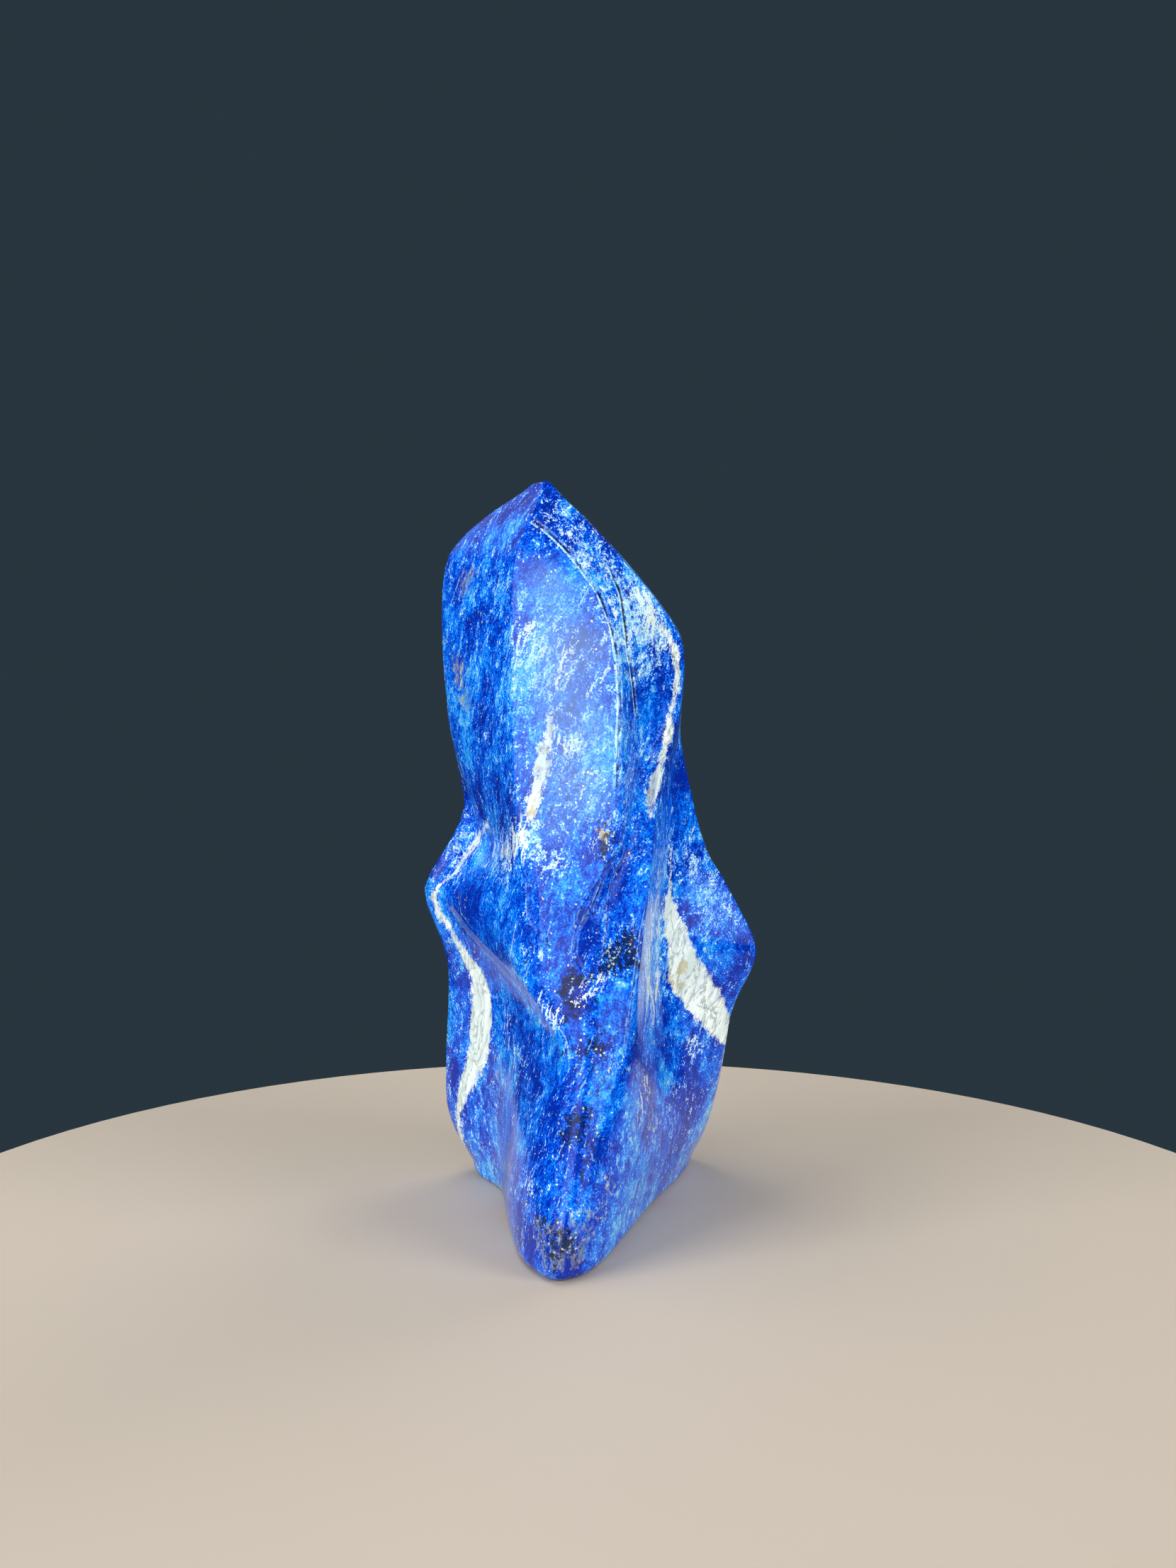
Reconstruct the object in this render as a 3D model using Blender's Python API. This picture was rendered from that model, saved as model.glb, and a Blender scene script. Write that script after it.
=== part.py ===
"""Polished lapis lazuli freeform stone, standing upright on a flat base.

The stone is one closed loft. Its shape is held by a ring of lines that climb from the base to the
summit: each ridge and each hollow of the stone is one line. A level of the loft is the polygon
through those lines, with every corner rounded by its own share of the two sides that meet there,
so a small share leaves a crisp edge and a large one a soft shoulder.

Millimetres in the values below, metres in the scene. x runs to the right of the main face, y to
the back, z up. The origin is the centre of the base.
"""

import bmesh
import bpy
from mathutils import Vector

MM = 0.001

SUMMIT = (-10.3, -2.0, 180.0)
SUMMIT_DROP = 0.5

BASE_EDGE_RADIUS = 3.5
BASE_EDGE_ROWS = 4
BASE_EDGE_CROWDING = 1.6
BODY_ROWS = 40
ROOF_ROWS = 8
ROOF_CROWDING = 1.35

CORNER_POINTS = 4
SIDE_POINTS = 2
CORNER_FITTING_ROUNDS = 6

LINE_SOFTNESS = 1.8
SUMMIT_SOFTNESS = 3.6
LINE_SAMPLES = 9

SHARP_ANGLE = 0.9

STONE_COLOUR = (0.02, 0.09, 0.55, 1.0)
STONE_ROUGHNESS = 0.18

# Each line of the stone, in order round it from the left edge of the main face towards the right.
# "shoulder" is the height where the line turns in to the roof. "course" holds height, x and y.
# "rounding" holds height and the share of the neighbouring sides that the corner takes.
LINES = {
    "left_arris": {
        "shoulder": 171.0,
        "course": (
            (0.0, -12.5, -45.5), (10.0, -12.2, -45.0), (19.0, -10.6, -43.0), (31.0, -8.2, -40.4),
            (42.0, -5.6, -38.0), (46.0, -5.0, -36.6), (51.0, -5.8, -34.8), (57.0, -9.8, -31.6),
            (63.0, -14.0, -29.6), (69.0, -15.5, -28.0), (90.0, -15.4, -24.0), (110.0, -17.2, -21.0),
            (126.0, -17.8, -18.5), (157.0, -17.9, -13.5), (163.0, -17.1, -12.2), (171.0, -13.8, -9.4),
        ),
        "rounding": ((0.0, 0.5), (48.0, 0.45), (75.0, 0.35), (105.0, 0.06)),
    },
    "front_ridge": {
        "shoulder": 170.4,
        "course": (
            (0.0, -7.8, -51.6), (8.0, -7.2, -50.8), (17.0, -5.6, -48.0), (29.0, -3.4, -43.9),
            (41.0, -1.8, -39.9), (51.0, -0.8, -36.3), (62.0, -1.4, -32.0), (71.0, -3.3, -29.5),
            (75.0, -3.0, -29.0), (88.0, 3.6, -25.6), (94.0, 6.3, -24.0), (102.0, 7.9, -22.6),
            (116.0, 7.4, -21.5), (138.0, 7.2, -19.5), (145.0, 4.7, -18.5), (154.0, 1.4, -16.5),
            (160.0, -3.2, -14.0), (168.0, -9.6, -10.8), (170.4, -12.0, -9.6),
        ),
        "rounding": ((0.0, 0.5), (60.0, 0.5), (72.0, 0.2), (100.0, 0.1), (138.0, 0.06)),
    },
    "right_scoop": {
        "shoulder": 164.0,
        "course": (
            (0.0, -2.6, -49.4), (9.0, -1.6, -48.2), (20.0, 0.6, -45.0), (32.0, 2.2, -41.2),
            (46.0, 3.8, -36.2), (62.0, 4.5, -31.0), (74.0, 5.2, -26.8), (84.0, 6.8, -23.6),
            (93.0, 9.2, -20.5), (101.0, 11.0, -17.0), (108.0, 12.6, -12.4), (116.0, 13.8, -8.5),
            (126.0, 13.8, -8.0), (138.0, 12.6, -12.0), (146.0, 10.0, -13.6), (156.0, 4.6, -12.0),
            (164.0, -1.4, -9.0), (172.0, -6.4, -5.4),
        ),
        "rounding": ((0.0, 0.5), (90.0, 0.45), (110.0, 0.5), (164.0, 0.5)),
    },
    "right_arris": {
        "shoulder": 150.0,
        "course": (
            (0.0, 1.8, -42.4), (8.0, 3.2, -41.2), (18.0, 5.6, -38.2), (30.0, 7.9, -35.2),
            (45.0, 9.6, -31.8), (58.0, 10.8, -28.9), (72.0, 12.4, -26.0), (82.0, 13.6, -23.0),
            (93.0, 15.1, -19.0), (104.0, 16.0, -14.0), (109.0, 17.1, -11.0), (117.0, 19.5, -6.0),
            (125.0, 21.4, -4.0), (134.0, 22.2, -3.0), (142.0, 21.6, -2.5), (150.0, 17.4, -3.0),
            (157.0, 11.6, -4.2), (165.0, 4.0, -4.2), (172.0, -2.2, -3.2),
        ),
        "rounding": ((0.0, 0.5), (45.0, 0.5), (60.0, 0.12), (104.0, 0.08), (120.0, 0.3), (150.0, 0.4)),
    },
    "right_flank": {
        "shoulder": 148.0,
        "course": (
            (0.0, 8.0, -25.0), (8.0, 9.4, -24.6), (18.0, 11.8, -23.6), (30.0, 13.2, -21.0),
            (45.0, 13.6, -18.4), (58.0, 13.8, -16.4), (72.0, 14.6, -14.6), (82.0, 15.8, -12.4),
            (93.0, 17.2, -9.6), (104.0, 18.4, -6.0), (112.0, 19.9, -2.4), (119.0, 21.6, 0.6),
            (134.0, 23.5, 0.6), (142.0, 22.8, 0.4), (148.0, 19.2, 0.0), (157.0, 12.3, -0.8),
            (165.0, 5.2, -1.2), (172.0, -1.2, -1.2),
        ),
        "rounding": ((0.0, 0.5), (148.0, 0.5)),
    },
    "right_valley": {
        "shoulder": 146.5,
        "course": (
            (0.0, 15.5, 0.5), (4.0, 17.0, 2.0), (15.0, 20.5, 3.0), (25.0, 22.0, 4.5),
            (36.0, 21.2, 5.0), (54.0, 19.5, 4.0), (65.0, 19.0, 3.0), (81.0, 20.2, 4.0),
            (97.0, 20.8, 5.0), (107.0, 21.2, 6.0), (119.0, 22.4, 7.0), (128.0, 23.4, 6.0),
            (134.0, 23.8, 5.0), (142.0, 23.2, 4.5), (146.5, 21.0, 4.2), (155.0, 14.6, 3.6),
            (162.5, 8.0, 2.6), (171.5, -0.6, 1.4),
        ),
        "rounding": ((0.0, 0.5), (30.0, 0.5), (65.0, 0.3), (146.5, 0.5)),
    },
    "wing_edge": {
        "shoulder": 146.0,
        "course": (
            (0.0, 26.6, 38.0), (4.0, 28.8, 37.6), (10.0, 31.4, 34.0), (18.0, 33.2, 30.0),
            (25.0, 34.2, 26.0), (34.0, 35.3, 22.0), (44.0, 36.4, 19.0), (51.0, 37.7, 17.0),
            (57.5, 41.0, 15.0), (61.0, 42.3, 14.5), (65.0, 42.3, 14.0), (69.0, 40.3, 14.0),
            (80.0, 34.3, 14.0), (87.0, 30.6, 13.5), (95.0, 27.9, 13.0), (108.0, 25.0, 12.0),
            (118.0, 22.9, 12.5), (134.0, 23.4, 13.5), (142.0, 22.6, 13.0), (146.0, 20.8, 12.4),
            (155.0, 14.2, 10.2), (162.5, 7.6, 7.6), (171.5, -0.9, 4.0),
        ),
        "rounding": ((0.0, 0.5), (14.0, 0.3), (40.0, 0.16), (65.0, 0.13), (90.0, 0.16), (115.0, 0.45)),
    },
    "wing_back": {
        "shoulder": 147.0,
        "course": (
            (0.0, 21.5, 45.5), (20.0, 28.0, 41.0), (40.0, 29.0, 34.0), (62.0, 31.5, 27.5),
            (80.0, 26.0, 25.5), (100.0, 20.8, 24.5), (125.0, 20.8, 25.0), (147.0, 18.5, 23.0),
            (155.0, 12.8, 18.5), (163.0, 6.4, 12.8), (171.5, -1.4, 5.8),
        ),
        "rounding": ((0.0, 0.5), (147.0, 0.5)),
    },
    "back_right_ridge": {
        "shoulder": 150.0,
        "course": (
            (0.0, 12.0, 47.0), (18.0, 15.5, 48.5), (45.0, 17.0, 46.0), (70.0, 16.5, 42.5),
            (95.0, 14.0, 40.0), (120.0, 13.5, 38.0), (140.0, 12.0, 34.0), (150.0, 9.5, 29.5),
            (158.0, 5.6, 24.0), (166.0, 0.4, 16.6), (173.0, -4.8, 8.4),
        ),
        "rounding": ((0.0, 0.4), (60.0, 0.18), (110.0, 0.15), (150.0, 0.3)),
    },
    "back_scoop": {
        "shoulder": 157.0,
        "course": (
            (0.0, -4.0, 46.5), (20.0, -4.0, 47.0), (50.0, -4.0, 42.0), (72.0, -4.5, 38.5),
            (95.0, -5.5, 38.0), (120.0, -6.5, 39.0), (145.0, -7.5, 35.5), (157.0, -8.2, 29.5),
            (166.0, -8.6, 22.0), (173.0, -9.2, 12.4),
        ),
        "rounding": ((0.0, 0.5), (157.0, 0.5)),
    },
    "back_left_ridge": {
        "shoulder": 161.0,
        "course": (
            (0.0, -17.0, 44.0), (20.0, -20.0, 45.5), (50.0, -22.0, 43.0), (78.0, -24.5, 39.5),
            (100.0, -20.5, 38.5), (125.0, -22.0, 39.5), (148.0, -22.4, 35.5), (161.0, -21.4, 30.0),
            (168.0, -18.8, 25.0), (174.0, -15.0, 14.6),
        ),
        "rounding": ((0.0, 0.4), (70.0, 0.22), (161.0, 0.3)),
    },
    "lobe_edge": {
        "shoulder": 163.0,
        "course": (
            (0.0, -29.0, 33.5), (4.0, -31.0, 33.0), (9.0, -34.0, 31.8), (14.0, -36.3, 31.0),
            (20.0, -37.8, 30.5), (36.0, -37.3, 27.0), (46.0, -36.5, 24.5), (56.0, -36.0, 22.0),
            (61.0, -36.2, 20.0), (67.0, -38.0, 18.0), (74.0, -40.4, 15.8), (79.0, -41.2, 15.0),
            (83.0, -39.6, 15.6), (91.0, -34.6, 18.0), (97.0, -31.6, 20.5), (101.0, -30.8, 22.0),
            (108.0, -31.6, 24.0), (121.0, -34.5, 26.0), (148.0, -35.5, 26.0), (158.0, -34.6, 25.5),
            (163.0, -32.2, 24.8), (169.0, -26.0, 22.4), (174.5, -17.8, 15.6),
        ),
        "rounding": ((0.0, 0.4), (30.0, 0.22), (79.0, 0.3), (100.0, 0.5), (164.0, 0.5)),
    },
    "left_hollow": {
        "shoulder": 163.0,
        "course": (
            (0.0, -23.0, 15.0), (14.0, -23.6, 12.0), (36.0, -23.6, 8.5), (54.0, -24.6, 8.0),
            (59.0, -27.0, 8.6), (65.0, -30.6, 9.8), (75.0, -37.4, 12.6), (79.0, -38.9, 12.8),
            (83.0, -36.0, 12.8), (91.0, -29.4, 14.0), (96.0, -28.6, 15.2), (101.0, -30.0, 16.8),
            (108.0, -32.4, 18.0), (121.0, -35.2, 19.0), (134.0, -36.2, 20.0), (158.0, -36.2, 20.5),
            (163.0, -34.4, 20.4), (169.0, -28.2, 19.4), (174.5, -20.0, 14.4),
        ),
        "rounding": ((0.0, 0.4), (50.0, 0.5), (79.0, 0.5), (95.0, 0.4), (105.0, 0.5), (164.5, 0.5)),
    },
    "undercut": {
        "shoulder": 163.5,
        "course": (
            (0.0, -20.0, -8.0), (10.0, -20.6, -9.0), (26.0, -18.6, -12.0), (42.0, -15.2, -13.6),
            (50.0, -14.4, -12.4), (56.0, -17.4, -7.2), (62.0, -22.2, -1.6), (68.0, -28.4, 3.8),
            (74.0, -34.2, 8.6), (79.0, -36.4, 10.0), (84.0, -31.8, 9.0), (90.0, -25.8, 7.0),
            (96.0, -26.6, 9.2), (102.0, -29.0, 11.0), (115.0, -33.5, 14.0), (134.0, -35.9, 15.6),
            (148.0, -36.3, 16.5), (157.0, -35.9, 17.0), (163.5, -34.0, 16.8), (169.0, -29.0, 16.6),
            (174.5, -21.2, 12.6),
        ),
        "rounding": ((0.0, 0.5), (166.5, 0.5)),
    },
    "left_edge": {
        "shoulder": 163.5,
        "course": (
            (0.0, -16.4, -35.0), (9.0, -17.0, -32.4), (17.0, -16.2, -31.6), (26.0, -14.0, -31.2),
            (34.0, -11.2, -32.0), (42.0, -8.2, -33.0), (48.0, -6.4, -33.0), (52.0, -7.1, -31.2),
            (56.0, -10.0, -27.0), (63.0, -18.0, -16.0), (69.0, -26.0, -5.4), (73.0, -31.2, 2.0),
            (77.0, -33.4, 5.6), (80.0, -32.6, 5.6), (84.0, -28.8, 4.2), (88.5, -24.6, 2.2),
            (93.0, -23.6, 2.0), (98.0, -25.4, 3.8), (103.0, -27.8, 5.6), (109.0, -30.0, 7.0),
            (121.0, -33.2, 9.0), (134.0, -34.4, 10.5), (148.0, -34.9, 11.0), (158.0, -34.5, 11.6),
            (163.5, -33.3, 13.0), (169.0, -28.7, 13.2), (173.5, -23.4, 11.2), (176.5, -18.2, 6.6),
            (178.5, -14.2, 2.2),
        ),
        "rounding": ((0.0, 0.5), (45.0, 0.4), (58.0, 0.1), (72.0, 0.1), (84.0, 0.4), (168.5, 0.45)),
    },
}


def between(table, height):
    """The values of a table at a height, straight between its rows."""
    if height <= table[0][0]:
        return table[0][1:]
    for low, high in zip(table, table[1:]):
        if height <= high[0]:
            share = (height - low[0]) / (high[0] - low[0])
            return tuple(a + (b - a) * share for a, b in zip(low[1:], high[1:]))
    return table[-1][1:]


def softened(table, height, softness):
    """The values of a table averaged over a short span of height, so its bends are rounded."""
    total = None
    for sample in range(LINE_SAMPLES):
        offset = softness * (2.0 * sample / (LINE_SAMPLES - 1) - 1.0)
        values = between(table, height + offset)
        total = values if total is None else tuple(a + b for a, b in zip(total, values))
    return tuple(value / LINE_SAMPLES for value in total)


def full_course(line):
    """The course of a line carried on from its shoulder to the summit."""
    return line["course"] + ((SUMMIT[2], SUMMIT[0], SUMMIT[1]),)


def corner_arc(before, corner, after, share):
    """Start, control and end of the curve that rounds a corner."""
    return corner.lerp(before, share), corner, corner.lerp(after, share)


def fitted_corners(points, shares):
    """The corners pushed out until the middle of each rounded corner lies on its line."""
    corners = [point.copy() for point in points]
    count = len(points)
    for _ in range(CORNER_FITTING_ROUNDS):
        moved = []
        for i in range(count):
            start, control, end = corner_arc(corners[i - 1], corners[i], corners[(i + 1) % count], shares[i])
            middle = (start + control * 2.0 + end) / 4.0
            moved.append(corners[i] + (points[i] - middle))
        corners = moved
    return corners


def level_outline(points, shares):
    """One closed ring of the loft: rounded corners joined by straight sides."""
    corners = fitted_corners(points, shares)
    count = len(corners)
    arcs = [
        corner_arc(corners[i - 1], corners[i], corners[(i + 1) % count], shares[i]) for i in range(count)
    ]
    ring = []
    for i, (start, control, end) in enumerate(arcs):
        for step in range(CORNER_POINTS):
            along = step / (CORNER_POINTS - 1)
            ring.append(start.lerp(control, along).lerp(control.lerp(end, along), along))
        following = arcs[(i + 1) % count][0]
        for step in range(1, SIDE_POINTS + 1):
            ring.append(end.lerp(following, step / (SIDE_POINTS + 1)))
    return ring


def row_points(share_of_shoulder, share_of_roof):
    """The point of every line on one row, and how far its corner is rounded there."""
    points, shares = [], []
    softness = LINE_SOFTNESS + (SUMMIT_SOFTNESS - LINE_SOFTNESS) * share_of_roof**2
    for line in LINES.values():
        shoulder = line["shoulder"]
        height = shoulder * share_of_shoulder + (SUMMIT[2] - SUMMIT_DROP - shoulder) * share_of_roof
        x, y = softened(full_course(line), height, softness)
        (rounding,) = between(line["rounding"], height)
        points.append(Vector((x, y, height)))
        shares.append(rounding)
    return points, shares


def base_rings(first_ring):
    """The rounded edge of the base: the first row of the body carried down and drawn in."""
    centre = sum(first_ring, Vector()) / len(first_ring)
    rings = []
    for row in range(BASE_EDGE_ROWS):
        rise = (row / BASE_EDGE_ROWS) ** BASE_EDGE_CROWDING
        inset = BASE_EDGE_RADIUS * (1.0 - (1.0 - (1.0 - rise) ** 2) ** 0.5)
        ring = []
        for point in first_ring:
            inward = Vector((centre.x - point.x, centre.y - point.y, 0.0)).normalized()
            ring.append(Vector((point.x, point.y, point.z * rise)) + inward * inset)
        rings.append(ring)
    return rings


def stone_rings():
    """Every row of the loft from the base to just under the summit."""
    body = []
    lowest_share = BASE_EDGE_RADIUS / SUMMIT[2]
    for row in range(BODY_ROWS + 1):
        share = lowest_share + (1.0 - lowest_share) * row / BODY_ROWS
        body.append(level_outline(*row_points(share, 0.0)))
    rings = base_rings(body[0]) + body
    for row in range(1, ROOF_ROWS + 1):
        share = (row / ROOF_ROWS) ** (1.0 / ROOF_CROWDING)
        rings.append(level_outline(*row_points(1.0, share)))
    return rings


def clear_scene():
    for obj in list(bpy.data.objects):
        bpy.data.objects.remove(obj, do_unlink=True)


def lapis_material():
    material = bpy.data.materials.new("lapis_lazuli")
    material.use_nodes = True
    shader = material.node_tree.nodes["Principled BSDF"]
    shader.inputs["Base Color"].default_value = STONE_COLOUR
    shader.inputs["Roughness"].default_value = STONE_ROUGHNESS
    return material


def build_stone(collection):
    mesh = bpy.data.meshes.new("lapis_stone")
    work = bmesh.new()
    rows = []
    for ring in stone_rings():
        rows.append([work.verts.new(point * MM) for point in ring])
    width = len(rows[0])
    for low, high in zip(rows, rows[1:]):
        for i in range(width):
            after = (i + 1) % width
            work.faces.new((low[i], low[after], high[after], high[i]))
    foot = sum((vert.co for vert in rows[0]), Vector()) / width
    foot_centre = work.verts.new((foot.x, foot.y, 0.0))
    summit = work.verts.new(Vector(SUMMIT) * MM)
    for i in range(width):
        after = (i + 1) % width
        work.faces.new((rows[0][after], rows[0][i], foot_centre))
        work.faces.new((rows[-1][i], rows[-1][after], summit))
    bmesh.ops.recalc_face_normals(work, faces=work.faces)
    work.to_mesh(mesh)
    work.free()
    mesh.materials.append(lapis_material())
    mesh.shade_smooth()
    mesh.set_sharp_from_angle(angle=SHARP_ANGLE)
    stone = bpy.data.objects.new("lapis_stone", mesh)
    collection.objects.link(stone)
    return stone


def main():
    clear_scene()
    collection = bpy.data.collections.new("lapis_freeform_stone")
    bpy.context.scene.collection.children.link(collection)
    build_stone(collection)


main()
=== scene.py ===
import math

import bmesh
import bpy
import numpy as np
from mathutils import Euler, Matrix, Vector, noise
from mathutils.bvhtree import BVHTree
from mathutils.kdtree import KDTree


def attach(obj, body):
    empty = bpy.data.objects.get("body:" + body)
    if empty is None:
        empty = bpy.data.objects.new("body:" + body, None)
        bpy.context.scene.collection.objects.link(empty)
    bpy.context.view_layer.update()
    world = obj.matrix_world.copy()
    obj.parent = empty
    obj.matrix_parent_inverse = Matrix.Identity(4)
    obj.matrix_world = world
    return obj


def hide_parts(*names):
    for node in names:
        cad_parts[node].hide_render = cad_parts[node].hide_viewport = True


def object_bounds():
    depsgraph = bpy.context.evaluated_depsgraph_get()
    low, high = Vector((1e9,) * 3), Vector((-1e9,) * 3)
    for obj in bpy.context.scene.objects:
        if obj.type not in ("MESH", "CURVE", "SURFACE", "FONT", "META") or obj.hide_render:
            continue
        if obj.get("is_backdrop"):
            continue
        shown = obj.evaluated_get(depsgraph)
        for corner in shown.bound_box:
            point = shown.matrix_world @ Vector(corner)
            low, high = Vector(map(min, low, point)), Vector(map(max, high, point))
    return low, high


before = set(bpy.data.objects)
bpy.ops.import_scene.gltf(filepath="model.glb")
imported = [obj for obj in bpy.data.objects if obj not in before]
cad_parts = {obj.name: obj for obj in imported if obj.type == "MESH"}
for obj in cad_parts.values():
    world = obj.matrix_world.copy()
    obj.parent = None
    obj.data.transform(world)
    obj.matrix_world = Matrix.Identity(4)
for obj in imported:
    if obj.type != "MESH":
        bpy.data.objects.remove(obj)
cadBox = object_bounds()
scene = bpy.context.scene
mm = 0.001
print("frame loaded")


class Wire:  # a socket that can be used in sums
    def __init__(self, maker, socket):
        self.maker = maker
        self.socket = socket

    def __add__(self, other):
        return self.maker.sum("ADD", self, other)

    def __radd__(self, other):
        return self.maker.sum("ADD", other, self)

    def __sub__(self, other):
        return self.maker.sum("SUBTRACT", self, other)

    def __rsub__(self, other):
        return self.maker.sum("SUBTRACT", other, self)

    def __mul__(self, other):
        return self.maker.sum("MULTIPLY", self, other)

    def __rmul__(self, other):
        return self.maker.sum("MULTIPLY", other, self)

    def __abs__(self):
        return self.maker.sum("ABSOLUTE", self)


class Maker:  # adds nodes to one material
    def __init__(self, name):
        self.material = bpy.data.materials.new(name)
        self.material.use_nodes = True
        self.tree = self.material.node_tree
        self.shader = self.tree.nodes["Principled BSDF"]

    def node(self, kind, settings=None, sockets=None, out=0):
        made = self.tree.nodes.new(kind)
        for key, value in (settings or {}).items():
            if key == "stops":
                ramp = made.color_ramp
                while len(ramp.elements) < len(value):
                    ramp.elements.new(0.5)
                for stop, (position, colour) in zip(ramp.elements, value):
                    stop.position = position
                    stop.color = colour
            else:
                setattr(made, key, value)
        for key, value in (sockets or {}).items():
            self.feed(made.inputs[key], value)
        return Wire(self, made.outputs[out])

    def feed(self, socket, value):
        if isinstance(value, Wire):
            self.tree.links.new(value.socket, socket)
        else:
            socket.default_value = value

    def sum(self, operation, a, b=None):
        sockets = {0: a} if b is None else {0: a, 1: b}
        return self.node("ShaderNodeMath", {"operation": operation}, sockets)

    def step(self, value, low, high):  # 0 below low, 1 above high, smooth between
        return self.node(
            "ShaderNodeMapRange",
            {"interpolation_type": "SMOOTHSTEP"},
            {"Value": value, "From Min": low, "From Max": high},
        )

    def blend(self, share, a, b):  # colours
        settings = {"data_type": "RGBA", "clamp_factor": True}
        return self.node("ShaderNodeMix", settings, {0: share, 6: a, 7: b}, out=2)

    def vector(self, operation, a, b):
        return self.node("ShaderNodeVectorMath", {"operation": operation}, {0: a, 1: b})

    def turned(self, place, turn, scale):  # turned first, then stretched
        turned = self.node("ShaderNodeMapping", {}, {"Vector": place, "Rotation": turn})
        return self.node("ShaderNodeMapping", {}, {"Vector": turned, "Scale": scale})

    def cloud(self, place, size, detail=2.0, rough=0.5, out=0):  # noise, size in mm
        sockets = {"Vector": place, "Scale": 1.0 / size, "Detail": detail, "Roughness": rough}
        return self.node("ShaderNodeTexNoise", {}, sockets, out)

    def painted(self, name):  # a value stored on the stone's own points
        return self.node("ShaderNodeAttribute", {"attribute_name": name}, out="Fac")

    def finish(self, **sockets):
        for key, value in sockets.items():
            self.feed(self.shader.inputs[key], value)
        return self.material


# the stone's shape
stoneShape = {
    "node": "lapis_stone",
    "slot": "lapis_lazuli",
    "rounding": 2,  # subdivision levels over the CAD facets
    "crispness": 0.8,  # how firmly the ground edges are held
    "waveHeight": 0.10,  # mm, hand polishing never leaves a face dead flat
    "waveLength": 13.0,
    "flatBelow": 7,  # degrees between two CAD facets that still count as one face
    "crispAbove": 19,  # degrees from which an edge is held with all its crispness
    "fineReach": (2.6, 1.3),  # how many widths each side of a crack the mesh is made finer
    "lineStep": 0.35,  # mm between the points of a line laid on the stone
    "crackReach": 2.2,  # mm, further off a crack moves nothing
    "lipHeight": 0.04,  # mm, the low lip beside a crack
    "lipAway": 0.9,
    "lipWidth": 0.4,
    "footKept": 0.4,  # mm above the base that stay as they are
}

# edges that the grinding left sharp: points in mm, how far off the two faces are read, the most
# that the edge is built out, and how wide, all in mm
sharpEdges = {
    "leftArris": {
        "points": [
            (-14.5, -9.9, 169.5), (-17.1, -12.2, 163), (-17.9, -13.5, 157), (-17.9, -16, 141.5),
            (-17.8, -18.5, 126), (-17.2, -21, 110), (-16.3, -22.5, 100), (-15.6, -23.8, 92),
        ],
        "faceAt": 3.2, "most": 1.0, "reach": 2.6,
    },
    "lowerArris": {
        "points": [
            (-15.6, -23.8, 92), (-14.8, -26.4, 82), (-16.3, -25.6, 75), (-17.2, -24.4, 70.5),
            (-17.2, -21, 65),
        ],
        "faceAt": 3.6, "most": 0.7, "reach": 3.0,
    },
    "overhangLip": {
        "points": [
            (-35.2, 11.1, 73.3), (-30.2, 0.8, 72.4), (-26.1, -4.5, 68.7), (-20.6, -6.5, 61.7),
            (-16.2, -13.4, 58.4), (-12.5, -24, 58), (-9.5, -31.3, 57), (-6.8, -33.8, 53.6),
        ],
        "faceAt": 3.4, "most": 0.8, "reach": 3.0,
    },
    "wingEdge": {
        "points": [
            (30.6, 13.5, 87), (34.3, 14, 80), (40.3, 14, 69), (42.3, 14.2, 63), (41, 15, 57.5),
            (37.7, 17, 51), (36.4, 19, 44),
        ],
        "faceAt": 3.0, "most": 0.6, "reach": 2.4,
    },
}

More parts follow.
